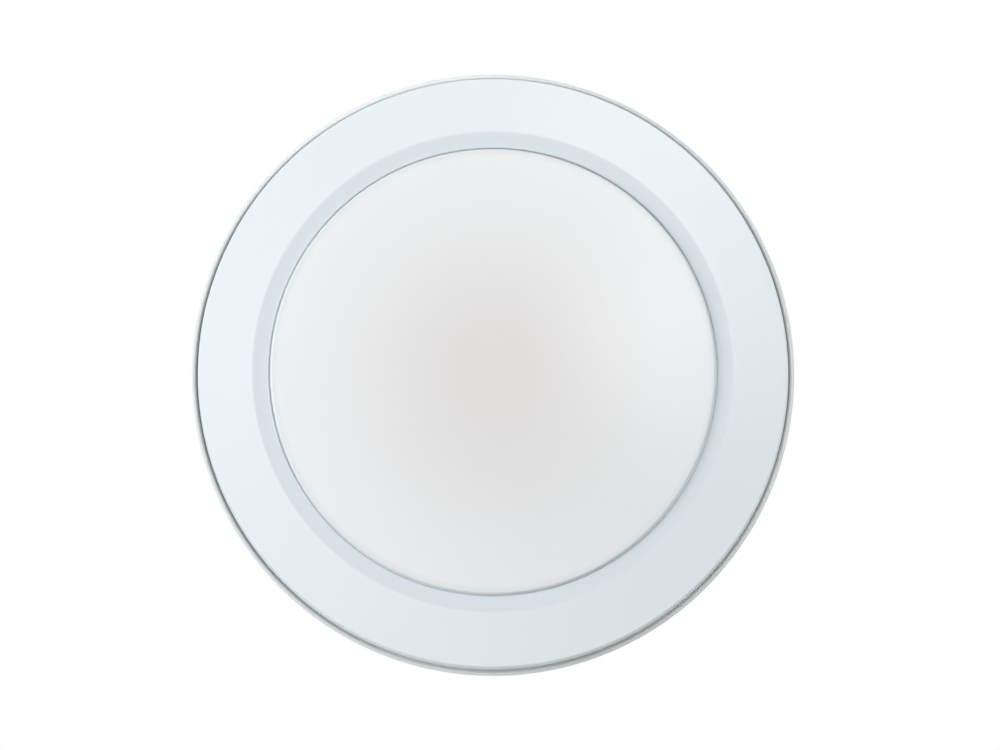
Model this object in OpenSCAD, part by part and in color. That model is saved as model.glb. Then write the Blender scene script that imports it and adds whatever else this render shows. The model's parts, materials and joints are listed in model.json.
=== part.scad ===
// Surface-mounted soffit downlight that twists onto a junction-box plate.
// Z = 0 is the soffit, +Z points up into it, and the light hangs below.
// Every depth is measured downwards from the soffit.

/* [Trim] */
// Diameter of the trim where it meets the gasket
trim_d = 186.8; // [168:0.2:210]
// How far the skirt draws in between gasket and face
skirt_draft = 0.8; // [0.2:0.1:1.2]
// Depth of the trim's outer edge
edge_depth = 13.2; // [12:0.1:15]
// Width of the sloping face from the edge to the ridge
face_w = 16.9; // [15:0.1:19]
// Width of the flat band from the ridge to the lens opening
band_w = 5.25; // [4.6:0.05:7]
// Depth of the ridge and of the flat band inside it
ridge_depth = 17.3; // [15.5:0.1:19.5]
// Wall of the trim
trim_wall = 1.8; // [1.4:0.1:2.1]
// Radius of the outer edge
edge_r = 0.9; // [0.3:0.1:1.2]
// Radius of the blend at the ridge
ridge_r = 5; // [1:0.5:8]
// Number of screws that pull trim and pan together
trim_screws_n = 4; // [3:1:6]
// Radius of the trim's screw bosses
trim_boss_r = 3.1; // [2.6:0.1:3.3]

/* [Lens] */
// Gap round the lens in the trim
lens_gap = 0.35; // [0.2:0.05:0.8]
// Depth of the middle of the lens
lens_depth = 25.4; // [22.5:0.1:32]
// How far the lens stands proud of the band before it domes
lens_proud = 1.5; // [0.8:0.1:2.5]
// Radius between the side and the dome of the lens
lens_roll_r = 2.4; // [2.1:0.1:3]
// Wall of the lens
lens_wall = 2; // [1.5:0.1:2]
// Width of the flange that the trim holds
lens_flange_w = 4.2; // [3.4:0.1:4.7]
// Thickness of that flange
lens_flange_t = 1.5; // [1:0.1:2]
// Thickness of the seal between flange and trim
lens_seal_t = 1; // [0.6:0.1:1.4]

/* [Gasket] */
// Thickness of the soffit gasket
gasket_t = 3; // [2.6:0.1:4]
// How far the gasket stands out past the trim
gasket_overhang = 1.85; // [0.5:0.05:4]
// Width of the gasket from its inner to its outer edge
gasket_w = 6.8; // [5.8:0.1:6.9]
// Width of each groove between its sealing ribs
gasket_groove_w = 1; // [0.6:0.1:1.2]
// Depth of each groove
gasket_groove_h = 0.7; // [0.3:0.1:1.2]

/* [Pan] */
// Thickness of the raised middle, which carries the LED board
hub_t = 3.2; // [2.8:0.1:3.8]
// Wall of the rest of the pan
pan_wall = 2.2; // [1.8:0.1:2.6]
// Height of the ring that presses the lens into the trim
press_h = 1.5; // [1:0.1:2.4]
// Number of cooling fins, every second one short
fins_n = 48; // [24:4:60]
// Thickness of a fin
fin_t = 1.5; // [1:0.1:2]
// How far a fin's top drops from its outer to its inner end
fin_drop = 2; // [0.5:0.1:3]
// How much shorter every second fin is
fin_short = 7; // [2:0.5:10]
// Radius of the pan's inside corners
pan_fillet = 1; // [0.4:0.1:1.2]

/* [Twist lock] */
// Turn between the locked and the released place, in degrees
twist = 20; // [14:1:24]
// Radius of the circle that the studs stand on
stud_ring_r = 42; // [38:0.5:46]
// Radius of a stud's neck
stud_neck_r = 2.2; // [1.8:0.1:2.5]
// Radius of a stud's head
stud_head_r = 4.2; // [3.8:0.1:4.4]
// Thickness of a stud's head
stud_head_t = 1.8; // [1.2:0.1:2.5]
// Direction of the first stud when locked, in degrees
stud_a = 100; // [94:1:106]

/* [Mounting plate] */
// Sheet thickness of the plate
plate_t = 1.4; // [1:0.1:1.6]
// Diameter of the plate
plate_d = 118; // [110:0.5:128]
// Height of its turned-down rim
plate_rim_h = 5; // [3:0.1:6]
// Distance between the centres of the box slots
slot_spacing = 79; // [78.4:0.1:80]
// Length of a box slot from end to end
slot_len = 16; // [12:0.1:16]
// Width of a box slot
slot_w = 4.6; // [4.3:0.1:5]

/* [Driver housing] */
// Diameter of the housing above its foot
can_d = 51; // [50:0.5:56]
// Height of the housing's top above the soffit
can_top = 22; // [20:0.5:30]
// Wall of the housing
can_wall = 1.8; // [1.4:0.1:2]
// How far the housing draws in towards its top
can_draft = 0.6; // [0.2:0.1:1]
// Radius of its top edge
can_edge_r = 2.5; // [1.9:0.1:3]
// Width of its foot flange
can_foot_w = 1.3; // [1:0.1:1.6]
// Height of its foot flange
can_foot_h = 3.4; // [2.5:0.1:5]
// Radius of the wire grommet's bore
grommet_bore_r = 3.4; // [2.5:0.1:4]

/* [Selector] */
// Travel of the knob each way from the middle
knob_travel = 4; // [2:0.5:4]
// Length of the knob along its travel
knob_l = 3.4; // [2.5:0.1:4]
// Width of the knob
knob_w = 3; // [2:0.1:3.2]
// How far the knob stands above the housing
knob_h = 1.8; // [1:0.1:3]

/* [Electronics] */
// Thickness of both circuit boards
board_t = 1.6; // [1:0.1:2]
// Thickness of the thermal pad
pad_t = 0.4; // [0.2:0.1:0.6]
// Wall of the reflector
reflector_t = 0.8; // [0.6:0.1:1]
// LED chips in the inner ring
leds_inner = 12; // [6:1:16]
// LED chips in the outer ring
leds_outer = 24; // [12:1:32]

/* [Hidden] */
$fn = 96;

eps = 0.5;              // how far a cut reaches past the surface it opens
seat_gap = 0.05;        // between pieces of one body that are nested
run_gap = 0.3;          // between pieces that move past each other
free_gap = 1;           // where pieces keep well apart
screw_clear = 0.4;      // radial clearance of a screw in a plain hole
edge_break = 0.6;       // small radius on cast and moulded edges
recess_l = 1.15;        // length and width of a screw's cross recess, as shares of its head's radius
recess_w = 0.26;
recess_depth = 0.55;    // depth of that recess, as a share of its head's height

// Stack from the soffit down to the trim
hub_top = -(plate_t + run_gap);
hub_bottom = hub_top - hub_t;
band_z = -ridge_depth;
band_back = band_z + trim_wall;
seal_back = band_back + lens_seal_t;
lens_back = seal_back + lens_flange_t;
reflector_back = lens_back + reflector_t;
floor_bottom = reflector_back + press_h;
floor_top = floor_bottom + pan_wall;

// Radii of trim, lens and gasket
trim_r = trim_d / 2;
edge_x = trim_r - skirt_draft;
ridge_x = edge_x - face_w;
opening_r = ridge_x - band_w;
lens_r = opening_r - lens_gap;
lens_flange_r = lens_r + lens_flange_w;
lens_side_z = band_z - lens_proud;
gasket_r = trim_r + gasket_overhang;
gasket_in_r = gasket_r - gasket_w;

// Radii of the pan, from the plate out to the hub and from the gasket in to the fins
trim_screw_r = 1.5;
trim_screw_head_r = 2.8;
trim_screw_head_t = 2;
trim_screw_l = 8;
locate_t = 1.2;
plate_r = plate_d / 2;
hub_r = plate_r - plate_t - free_gap;
pocket_r = hub_r - pan_wall;
pan_r = trim_r - skirt_draft - trim_wall - run_gap;
flange_z = -gasket_t;
trim_screw_x = gasket_in_r - trim_screw_head_r - eps;
channel_r = trim_screw_x - trim_boss_r - run_gap - pan_wall;
press_w = 3;

// Mounting plate and studs
can_r = can_d / 2;
can_foot_r = can_r + can_foot_w;
plate_hole_r = can_foot_r + free_gap;
plate_bend_r = 2.4;
keyhole_r = stud_neck_r + run_gap;
keyhole_pocket_r = keyhole_r + 0.3;
entry_r = stud_head_r + eps;
stud_rivet_r = 1.7;
studs_n = 3;
ground_a = 40;
ground_x = 34;
ground_r = 2.4;
ground_head_r = 4.4;
ground_head_t = 2.6;
ground_slot = 1;
ground_boss_r = 4;
ground_boss_h = 1.6;

// Driver housing
can_in_r = can_r - can_wall - can_draft;
can_roof = can_top - can_wall;
can_screw_x = 20.3;
can_screw_r = 1.4;
can_screw_head_r = 2.7;
can_screw_l = 10;
can_boss_r = 2.9;
can_boss_top = hub_top + can_screw_l - hub_t + 2.5;
can_screw_a = [30, 150, 270];
foot_seal_w = 1.2;
foot_seal_h = 1;
foot_seal_r = (can_foot_r + can_r - can_wall) / 2;

// Boards
tray_t = 0.8;
tray_r = can_in_r - 0.4;
post_h = 2;
post_r = 1.8;
post_x = can_in_r - 4.1;
board_z = hub_top + tray_t + post_h;
parts_z = board_z + board_t;
driver_board_r = can_in_r - 0.4;
boss_notch_r = can_boss_r + 0.4;
led_board_r = pocket_r - free_gap;
led_board_top = hub_bottom - pad_t;
led_board_face = led_board_top - board_t;
board_screw_x = led_board_r - 5.5;
board_screw_r = 1.25;
board_screw_head_r = 2.6;
board_screw_head_t = 1.6;
board_screw_bite = hub_t - 1.2;
chip_size = [2.8, 3.5, 0.7];
chip_ring_inner = 21;
chip_ring_outer = 37;
lead_hole_r = 3.6;
lead_r = 0.7;
lead_pitch = 2.4;
lead_bend_r = 2;
lead_drop = 2.2;
socket_l = 3;
connector_size = [6, 8, 4.2];
connector_x = 8;

// Parts on the driver board, placed in from its rim or out from its middle
wind_gap = 0.1;
core_size = [16, 7, 12];
core_at = [-4, 5.5];
core_leg = 3;
core_lift = 0.8;
bobbin_w = 9.6;
bobbin_pin_t = 2.4;
winding_l = 12.5;
can_cap_r = 4;
input_cap_h = 13;
input_cap_at = [9.2, 8.8];
output_cap_h = 10;
output_cap_at = [driver_board_r - 6.2, -0.8];
cap_waist_z = 1.9;
cap_waist_d = 0.25;
film_cap_size = [5, 10, 9];
film_cap_at = [-(driver_board_r - 8.2), -6.5];
rectifier_size = [6.4, 5, 2.6];
rectifier_at = [-6, -7.5];
choke_r = 3.8;
choke_neck_r = 3.2;
choke_h = 8;
choke_rim_h = 1.2;
choke_at = [7.4, -7.4];
varistor_r = 3.9;
varistor_t = 3.4;
varistor_at = [-(driver_board_r - 5.7), 2.9];
fuse_r = 1.6;
fuse_l = 8;
fuse_at = [driver_board_r - 9.6, -(driver_board_r - 7.5)];
fuse_turn = 40;
chip_ic_size = [4, 5, 1.5];
chip_ic_at = [1, -8.5];
leg_t = 0.8;
stand_off = 0.5;

// Selector and grommet in the housing's roof
selector_y = -10;
selector_ear_t = 0.8;
selector_wall = 1.9;
selector_size = [2 * (knob_travel + selector_wall) + knob_l, knob_w + 2 * selector_wall, 4.4];
selector_screw_r = 0.9;
selector_screw_head_r = 1.8;
selector_screw_head_t = 1;
selector_screw_x = selector_size[0] / 2 + selector_screw_head_r + eps;
selector_ear_l = 2 * (selector_screw_x + selector_screw_head_r + eps);
window_gap = 0.5;
knob_groove = 0.4;
grommet_y = 12;
grommet_flange_r = grommet_bore_r + 3;
grommet_neck_r = grommet_bore_r + 1.5;
grommet_flange_t = 1.5;
grommet_nose_h = 3;

// An outline's corner rounded with n steps: [x, y, r] in, points out
function corner(p, q, s, r, n) =
  let (u = (p - q) / norm(p - q), v = (s - q) / norm(s - q),
       half = acos(u * v) / 2, c = q + (u + v) / norm(u + v) * r / sin(half),
       a = q + u * r / tan(half) - c, b = q + v * r / tan(half) - c,
       start = atan2(a[1], a[0]), turn = atan2(b[1], b[0]) - start,
       sweep = turn > 180 ? turn - 360 : turn < -180 ? turn + 360 : turn)
  [for (i = [0:n]) c + r * [cos(start + sweep * i / n), sin(start + sweep * i / n)]];
function rounded(path, n = 5) =
  let (m = len(path), at = function(i) let (p = path[(i + m) % m]) [p[0], p[1]])
  [for (i = [0:m - 1]) each (len(path[i]) < 3 ? [at(i)] : corner(at(i - 1), at(i), at(i + 1), path[i][2], n))];

// Places on a circle
function ring_angles(n, start = 0) = [for (i = [0:n - 1]) start + 360 * i / n];
stud_angles = ring_angles(studs_n, stud_a);
trim_screw_angles = ring_angles(trim_screws_n, 45);
board_screw_angles = ring_angles(studs_n, stud_a + 180 / studs_n);

module at_angle(angles, x) {
  for (a = angles) rotate([0, 0, a]) translate([x, 0, 0]) children();
}

module rod(r, z0, z1) {
  translate([0, 0, z0]) cylinder(r = r, h = z1 - z0);
}

module block(size, z0) {
  translate([-size[0] / 2, -size[1] / 2, z0]) cube(size);
}

// Pan-head screw that points up: its head hangs below z, its shank rises from it
module plain_screw_up(r, head_r, head_t, length, z) {
  rod(r, z - head_t / 2, z + length);
  rotate_extrude() polygon(rounded([[0, z], [head_r, z], [head_r, z - head_t, head_t * 0.6], [0, z - head_t]]));
}

// The same screw with a cross recess
module screw_up(r, head_r, head_t, length, z) {
  depth = recess_depth * head_t;
  difference() {
    plain_screw_up(r, head_r, head_t, length, z);
    for (a = [0, 90]) rotate([0, 0, a])
      block([recess_l * head_r, recess_w * head_r, depth + eps], z - head_t - eps);
  }
}

// Both turned to point down, with their heads above z
module turned_down(z) {
  translate([0, 0, z]) mirror([0, 0, 1]) children();
}

// Fixed to the junction box

module keyhole() {
  rotate([0, 0, -twist]) translate([stud_ring_r, 0, 0]) rod(entry_r, -plate_t - eps, eps);
  translate([stud_ring_r, 0, 0]) rod(keyhole_pocket_r, -plate_t - eps, eps);
  rotate([0, 0, -twist]) rotate_extrude(angle = twist)
    translate([stud_ring_r - keyhole_r, -plate_t - eps]) square([2 * keyhole_r, plate_t + 2 * eps]);
}

module box_slot() {
  run = slot_len - slot_w;
  for (x = [-run / 2, run / 2]) translate([x, 0, 0]) rod(slot_w / 2, -plate_t - eps, eps);
  block([run, slot_w, plate_t + 2 * eps], -plate_t - eps);
}

module mounting_plate() {
  color("silver") difference() {
    union() {
      rotate_extrude() polygon(rounded([
        [plate_hole_r, 0], [plate_r, 0, plate_bend_r], [plate_r, -plate_rim_h],
        [plate_r - plate_t, -plate_rim_h], [plate_r - plate_t, -plate_t, plate_bend_r - plate_t],
        [plate_hole_r, -plate_t]]));
      at_angle([ground_a], ground_x) rod(ground_boss_r, -plate_t / 2, ground_boss_h);
    }
    for (a = stud_angles) rotate([0, 0, a]) keyhole();
    for (s = [-1, 1]) translate([s * slot_spacing / 2, 0, 0]) box_slot();
    at_angle([ground_a], ground_x) rod(ground_r + seat_gap, -plate_t - eps, ground_boss_h + eps);
  }
}

module ground_screw() {
  color("seagreen") at_angle([ground_a], ground_x) difference() {
    turned_down(ground_boss_h) plain_screw_up(ground_r, ground_head_r, ground_head_t, ground_boss_h + plate_t, 0);
    block([2 * ground_head_r + eps, ground_slot, ground_head_t], ground_boss_h + ground_head_t - ground_slot);
  }
}

// Pan, trim and lens

module fin(length) {
  top = flange_z - screw_clear;
  rotate([90, 0, 0]) translate([0, 0, -fin_t / 2]) linear_extrude(fin_t) polygon([
    [channel_r + pan_wall / 2, floor_top - pan_wall / 2], [channel_r + pan_wall / 2, top],
    [channel_r - length, top - fin_drop], [channel_r - length - fin_t / 2, floor_top - pan_wall / 2]]);
}

module pan_shell() {
  rotate_extrude() polygon(rounded([
    [0, hub_top], [hub_r, hub_top, 2 * edge_break], [hub_r, floor_top, pan_fillet],
    [channel_r, floor_top, pan_fillet], [channel_r, flange_z, edge_break], [pan_r, flange_z],
    [pan_r, flange_z - pan_wall], [channel_r + pan_wall, flange_z - pan_wall, run_gap / 2],
    [channel_r + pan_wall, floor_bottom, pan_fillet], [lens_flange_r, floor_bottom],
    [lens_flange_r, reflector_back], [lens_flange_r - press_w, reflector_back],
    [lens_flange_r - press_w, floor_bottom], [pocket_r, floor_bottom, edge_break],
    [pocket_r, hub_bottom, edge_break], [0, hub_bottom]], 4));
}

module base_pan() {
  fin_long = channel_r - plate_r - 2 * free_gap;
  color("gainsboro") difference() {
    union() {
      pan_shell();
      for (i = [0:fins_n - 1]) rotate([0, 0, 360 * (i + 0.5) / fins_n])
        fin(i % 2 == 0 ? fin_long : fin_long - fin_short);
    }
    at_angle(trim_screw_angles, trim_screw_x) rod(trim_screw_r + screw_clear, flange_z - pan_wall - eps, 0);
    at_angle(stud_angles, stud_ring_r) rod(stud_rivet_r + seat_gap, hub_bottom - eps, 0);
    at_angle(board_screw_angles, board_screw_x) rod(board_screw_r + seat_gap, hub_bottom - eps, hub_bottom + board_screw_bite + 0.2);
    at_angle(can_screw_a, can_screw_x) {
      rod(can_screw_r + screw_clear, hub_bottom - eps, 0);
      translate([0, 0, hub_bottom])
        cylinder(r1 = can_screw_head_r + seat_gap, r2 = can_screw_r, h = can_screw_head_r - can_screw_r + seat_gap);
    }
    rod(lead_hole_r, hub_bottom - eps, 0);
  }
}

module shoulder_studs() {
  color("silver") at_angle(stud_angles, stud_ring_r) {
    rod(stud_rivet_r, hub_bottom, hub_top + run_gap);
    rod(stud_neck_r, hub_top, run_gap + stud_head_t / 2);
    rotate_extrude() polygon(rounded([[0, run_gap], [stud_head_r, run_gap],
      [stud_head_r, run_gap + stud_head_t, stud_head_t / 2], [0, run_gap + stud_head_t]]));
  }
}

module soffit_gasket() {
  rib_w = (gasket_w - 2 * gasket_groove_w) / 3;
  color("honeydew") difference() {
    rotate_extrude() polygon(rounded([[gasket_in_r, flange_z], [gasket_r, flange_z, edge_break],
      [gasket_r, 0, edge_break], [gasket_in_r, 0]]));
    for (i = [0:1]) rotate_extrude()
      translate([gasket_in_r + rib_w + i * (rib_w + gasket_groove_w), -gasket_groove_h])
        square([gasket_groove_w, gasket_groove_h + eps]);
  }
}

// Half of the trim's wall, or all of it, as an outline from lip to skirt
face_slope = atan((ridge_depth - edge_depth) / (edge_x - ridge_x));
function trim_inside(t) = [
  [opening_r, band_z + t], [ridge_x - t * tan(face_slope / 2), band_z + t, ridge_r],
  [edge_x - t, -edge_depth + t * (1 / cos(face_slope) - tan(face_slope)), edge_r], [trim_r - t, flange_z]];

module trim_ring() {
  locate_r = lens_flange_r + 4 * seat_gap;
  boss_top = flange_z - pan_wall - 4 * seat_gap;
  mid = trim_inside(trim_wall / 2);
  color("white") difference() {
    union() {
      rotate_extrude() polygon(rounded(concat(
        [[opening_r, band_z, edge_break], [ridge_x, band_z, ridge_r], [edge_x, -edge_depth, edge_r], [trim_r, flange_z]],
        [for (i = [3:-1:0]) trim_inside(trim_wall)[i]])));
      rotate_extrude() polygon([[locate_r, band_back - trim_wall / 4], [locate_r, lens_back],
        [locate_r + locate_t, lens_back], [locate_r + locate_t, band_back - trim_wall / 4]]);
      intersection() {
        at_angle(trim_screw_angles, trim_screw_x) rod(trim_boss_r, band_z, boss_top);
        rotate_extrude() polygon([for (p = concat(mid, [[trim_r - trim_wall, 0], [opening_r, 0]])) [p[0], p[1]]]);
      }
    }
    at_angle(trim_screw_angles, trim_screw_x)
      rod(trim_screw_r + seat_gap, flange_z - trim_screw_l - eps, 0);
  }
}

module trim_screws() {
  color("silver") at_angle(trim_screw_angles, trim_screw_x)
    turned_down(flange_z) screw_up(trim_screw_r, trim_screw_head_r, trim_screw_head_t, trim_screw_l, 0);
}

// Dome of the lens: points from the side at x to the middle at z, on one sphere
function dome(x, z_side, z_mid, n = 20) =
  let (h = z_side - z_mid, r = (x * x + h * h) / (2 * h), a = asin(x / r))
  [for (i = [0:n]) [r * sin(a * (1 - i / n)), z_mid + r - r * cos(a * (1 - i / n))]];

module lens() {
  inner_r = lens_r - lens_wall;
  outer = dome(lens_r, lens_side_z, -lens_depth);
  inner = dome(inner_r, lens_side_z + lens_wall, -lens_depth + lens_wall);
  color("white") rotate_extrude() polygon(rounded(concat(
    [[lens_flange_r, lens_back], [lens_flange_r, seal_back], [lens_r, seal_back], [lens_r, lens_side_z, lens_roll_r]],
    [for (i = [2:len(outer) - 1]) outer[i]],
    [for (i = [len(inner) - 1:-1:1]) inner[i]],
    [[inner_r, lens_side_z + lens_wall], [inner_r, lens_back]])));
}

module lens_seal() {
  color("whitesmoke") rotate_extrude() polygon(rounded([
    [lens_r + free_gap, band_back], [lens_flange_r, band_back], [lens_flange_r, seal_back],
    [lens_r + free_gap, seal_back]]));
}

module reflector() {
  t = reflector_t;
  foot_r = pocket_r - run_gap;
  knee = floor_bottom - run_gap;
  top = led_board_face - run_gap / 2;
  slope_r = lens_flange_r - press_w - edge_break;
  color("white") rotate_extrude() polygon(rounded([
    [foot_r, top], [foot_r, knee, t / 2], [slope_r, reflector_back, t / 2], [lens_flange_r, reflector_back],
    [lens_flange_r, lens_back], [slope_r, lens_back, t / 2], [foot_r - t, knee - t, t / 2], [foot_r - t, top]], 3));
}

// LED board

module led_disc(z0, z1, r) {
  difference() {
    rod(r, z0, z1);
    rod(lead_hole_r, z0 - eps, z1 + eps);
    at_angle(board_screw_angles, board_screw_x) rod(board_screw_r + screw_clear, z0 - eps, z1 + eps);
  }
}

module thermal_pad() {
  color("lightgray") led_disc(led_board_top, hub_bottom, led_board_r - eps);
}

module led_board() {
  color("white") led_disc(led_board_face, led_board_top, led_board_r);
}

module led_chips() {
  color("gold") for (row = [[leds_inner, chip_ring_inner], [leds_outer, chip_ring_outer]])
    at_angle(ring_angles(row[0], 180 / row[0]), row[1]) block(chip_size, led_board_face - chip_size[2]);
}

module board_screws() {
  color("silver") at_angle(board_screw_angles, board_screw_x)
    screw_up(board_screw_r, board_screw_head_r, board_screw_head_t, board_t + pad_t + board_screw_bite, led_board_face);
}

module board_connector() {
  color("ivory") translate([connector_x + connector_size[0] / 2, 0, 0]) difference() {
    block(connector_size, led_board_face - connector_size[2]);
    for (s = [-1, 1]) translate([-connector_size[0] / 2, s * lead_pitch / 2, led_board_face - lead_drop])
      rotate([0, 90, 0]) translate([0, 0, -eps]) cylinder(r = lead_r + 2 * seat_gap, h = socket_l + eps);
  }
}

module output_leads() {
  bend_z = led_board_face - lead_drop;
  color("firebrick") for (s = [-1, 1]) translate([0, s * lead_pitch / 2, 0]) {
    rod(lead_r, bend_z + lead_bend_r, board_z);
    translate([lead_bend_r, 0, bend_z + lead_bend_r]) rotate([90, 0, 0]) rotate([0, 0, 180])
      rotate_extrude(angle = 90) translate([lead_bend_r, 0]) circle(r = lead_r, $fn = 32);
    translate([lead_bend_r, 0, bend_z]) rotate([0, 90, 0]) cylinder(r = lead_r, h = connector_x + socket_l - seat_gap - lead_bend_r);
  }
}

// Driver

module driver_housing() {
  window = [2 * knob_travel + knob_l + 2 * window_gap, knob_w + 2 * window_gap, can_wall + 2 * eps];
  color("whitesmoke") difference() {
    union() {
      rotate_extrude() polygon(rounded([
        [0, can_top], [can_r - can_draft, can_top, can_edge_r], [can_r, hub_top + can_foot_h, edge_break],
        [can_foot_r, hub_top + can_foot_h, edge_break], [can_foot_r, hub_top], [can_r - can_wall, hub_top],
        [can_in_r, can_roof, edge_break], [0, can_roof]]));
      intersection() {
        at_angle(can_screw_a, can_screw_x) union() {
          rod(can_boss_r, hub_top, can_boss_top);
          translate([can_boss_r / 2, -can_boss_r * 0.7, hub_top])
            cube([can_r - can_screw_x, can_boss_r * 1.4, can_boss_top - hub_top]);
        }
        rod(can_r - can_wall / 2 - can_draft, hub_top, can_top);
      }
    }
    at_angle(can_screw_a, can_screw_x) rod(can_screw_r + seat_gap, hub_top - eps, hub_bottom + can_screw_l + eps);
    rotate_extrude() translate([foot_seal_r - foot_seal_w / 2 - seat_gap, hub_top - eps])
      square([foot_seal_w + 2 * seat_gap, foot_seal_h + eps]);
    translate([0, selector_y, 0]) block(window, can_roof - eps);
    for (s = [-1, 1]) translate([s * selector_screw_x, selector_y, 0])
      rod(selector_screw_r + 3 * seat_gap, can_roof - eps, can_top + eps);
    translate([0, grommet_y, 0]) rod(grommet_neck_r + 2 * seat_gap, can_roof - eps, can_top + eps);
  }
}

module housing_seal() {
  color("dimgray") rotate_extrude() translate([foot_seal_r - foot_seal_w / 2, hub_top])
    square([foot_seal_w, foot_seal_h - seat_gap]);
}

module housing_screws() {
  color("silver") at_angle(can_screw_a, can_screw_x) {
    rod(can_screw_r, hub_bottom + can_screw_r / 2, hub_bottom + can_screw_l);
    translate([0, 0, hub_bottom]) cylinder(r1 = can_screw_head_r, r2 = can_screw_r, h = can_screw_head_r - can_screw_r);
  }
}

module tray_posts() {
  at_angle([90, 210, 330], post_x) children();
}

module board_blank(r, z0, z1) {
  difference() {
    rod(r, z0, z1);
    at_angle(can_screw_a, can_screw_x) translate([0, 0, z0 - eps]) {
      cylinder(r = boss_notch_r, h = z1 - z0 + 2 * eps);
      translate([0, -0.9 * boss_notch_r, 0]) cube([2.4 * boss_notch_r, 1.8 * boss_notch_r, z1 - z0 + 2 * eps]);
    }
  }
}

module insulating_tray() {
  color("ivory") difference() {
    union() {
      board_blank(tray_r, hub_top, hub_top + tray_t);
      tray_posts() rod(post_r, hub_top + tray_t / 2, board_z);
    }
    rod(lead_hole_r, hub_top - eps, board_z + eps);
  }
}

module driver_board() {
  color("seagreen") board_blank(driver_board_r, board_z, parts_z);
}

// Transformer: two E halves round the winding, legs across X
module transformer_core() {
  window_w = core_size[0] / 2 - 1.5 * core_leg;
  color("dimgray") translate(core_at) difference() {
    block(core_size, parts_z + core_lift);
    for (s = [-1, 1]) translate([s * (core_leg + window_w) / 2, 0, 0])
      block([window_w, core_size[1] + 2 * eps, core_size[2] - 2 * core_leg], parts_z + core_lift + core_leg);
  }
}

module transformer_winding() {
  inner = core_size[2] - 2 * (core_leg + wind_gap);
  color("gold") translate(core_at) difference() {
    union() {
      block([core_size[0] - 2 * (core_leg + wind_gap), winding_l, inner], parts_z + core_lift + core_leg + wind_gap);
      for (s = [-1, 1]) translate([0, s * (core_size[1] + bobbin_pin_t + 3 * wind_gap) / 2, 0])
        block([bobbin_w, bobbin_pin_t, core_lift + core_leg + 2 * eps], parts_z);
    }
    block([core_leg + 2 * wind_gap, core_size[1] + 2 * wind_gap, core_size[2]], parts_z + core_leg);
  }
}

// Can with the crimp above its foot and the vent cross in its top
module radial_can(r, h) {
  difference() {
    rotate_extrude() polygon(rounded([[0, parts_z], [r, parts_z, 0.5], [r, parts_z + cap_waist_z - 0.3, 0.4],
      [r - cap_waist_d, parts_z + cap_waist_z, 0.3], [r, parts_z + cap_waist_z + 0.3, 0.4], [r, parts_z + h, 0.7],
      [0, parts_z + h]], 3));
    for (a = [0, 90]) rotate([0, 0, a]) block([r * 1.5, 0.35, eps], parts_z + h - cap_waist_d);
  }
}

module input_capacitor() {
  color("darkslateblue") translate(input_cap_at) radial_can(can_cap_r, input_cap_h);
}

module output_capacitor() {
  color("darkslateblue") translate(output_cap_at) radial_can(can_cap_r, output_cap_h);
}

module film_capacitor() {
  color("goldenrod") translate(film_cap_at) block(film_cap_size, parts_z);
}

// Body on bent legs: n legs on each long side, pitch apart
module leaded_body(size, lift, n, pitch, leg_w) {
  block(size, parts_z + lift);
  for (i = [0:n - 1], s = [-1, 1]) translate([(i - (n - 1) / 2) * pitch, s * (size[1] + leg_t - 0.2) / 2, 0])
    block([leg_w, leg_t, lift + size[2] * 0.4], parts_z);
}

module rectifier() {
  color("dimgray") translate(rectifier_at) leaded_body(rectifier_size, 0.2, 2, 5, 1);
}

module choke() {
  color("saddlebrown") translate(choke_at) rotate_extrude() polygon(rounded([
    [0, parts_z], [choke_r, parts_z, 0.3], [choke_r, parts_z + choke_rim_h, 0.3], [choke_neck_r, parts_z + choke_rim_h],
    [choke_neck_r, parts_z + choke_h - choke_rim_h], [choke_r, parts_z + choke_h - choke_rim_h, 0.3],
    [choke_r, parts_z + choke_h, 0.3], [0, parts_z + choke_h]], 3));
}

module varistor() {
  axis_z = varistor_r + stand_off;
  color("steelblue") translate([varistor_at[0], varistor_at[1], parts_z + axis_z]) {
    rotate([0, 90, 0]) translate([0, 0, -varistor_t / 2]) cylinder(r = varistor_r, h = varistor_t);
    block([leg_t, 1.4 * varistor_r, axis_z - varistor_r / 3], -axis_z);
  }
}

module fuse() {
  axis_z = fuse_r + stand_off;
  color("saddlebrown") translate([fuse_at[0], fuse_at[1], parts_z + axis_z]) rotate([0, 0, fuse_turn]) {
    rotate([0, 90, 0]) translate([0, 0, -fuse_l / 2]) cylinder(r = fuse_r, h = fuse_l);
    for (s = [-1, 1]) translate([s * (fuse_l + leg_t - 0.2) / 2, 0, 0]) block([leg_t, leg_t, axis_z + stand_off], -axis_z);
  }
}

module control_chip() {
  color("dimgray") translate(chip_ic_at) leaded_body(chip_ic_size, 0.15, 3, 1.2, 0.5);
}

module wire_grommet() {
  color("dimgray") translate([0, grommet_y, 0]) difference() {
    rotate_extrude() polygon(rounded([
      [0, can_top + grommet_flange_t + grommet_nose_h],
      [grommet_neck_r - 0.6, can_top + grommet_flange_t + grommet_nose_h, 0.6],
      [grommet_neck_r + 0.3, can_top + grommet_flange_t, 0.5],
      [grommet_flange_r, can_top + grommet_flange_t, 0.6], [grommet_flange_r, can_top],
      [grommet_neck_r, can_top], [grommet_neck_r, can_roof],
      [grommet_flange_r - 0.5, can_roof], [grommet_neck_r, can_roof - grommet_flange_t], [0, can_roof - grommet_flange_t]], 3));
    rod(grommet_bore_r, can_roof - grommet_flange_t - eps, can_top + grommet_flange_t + grommet_nose_h + eps);
  }
}

// Selector

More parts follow.
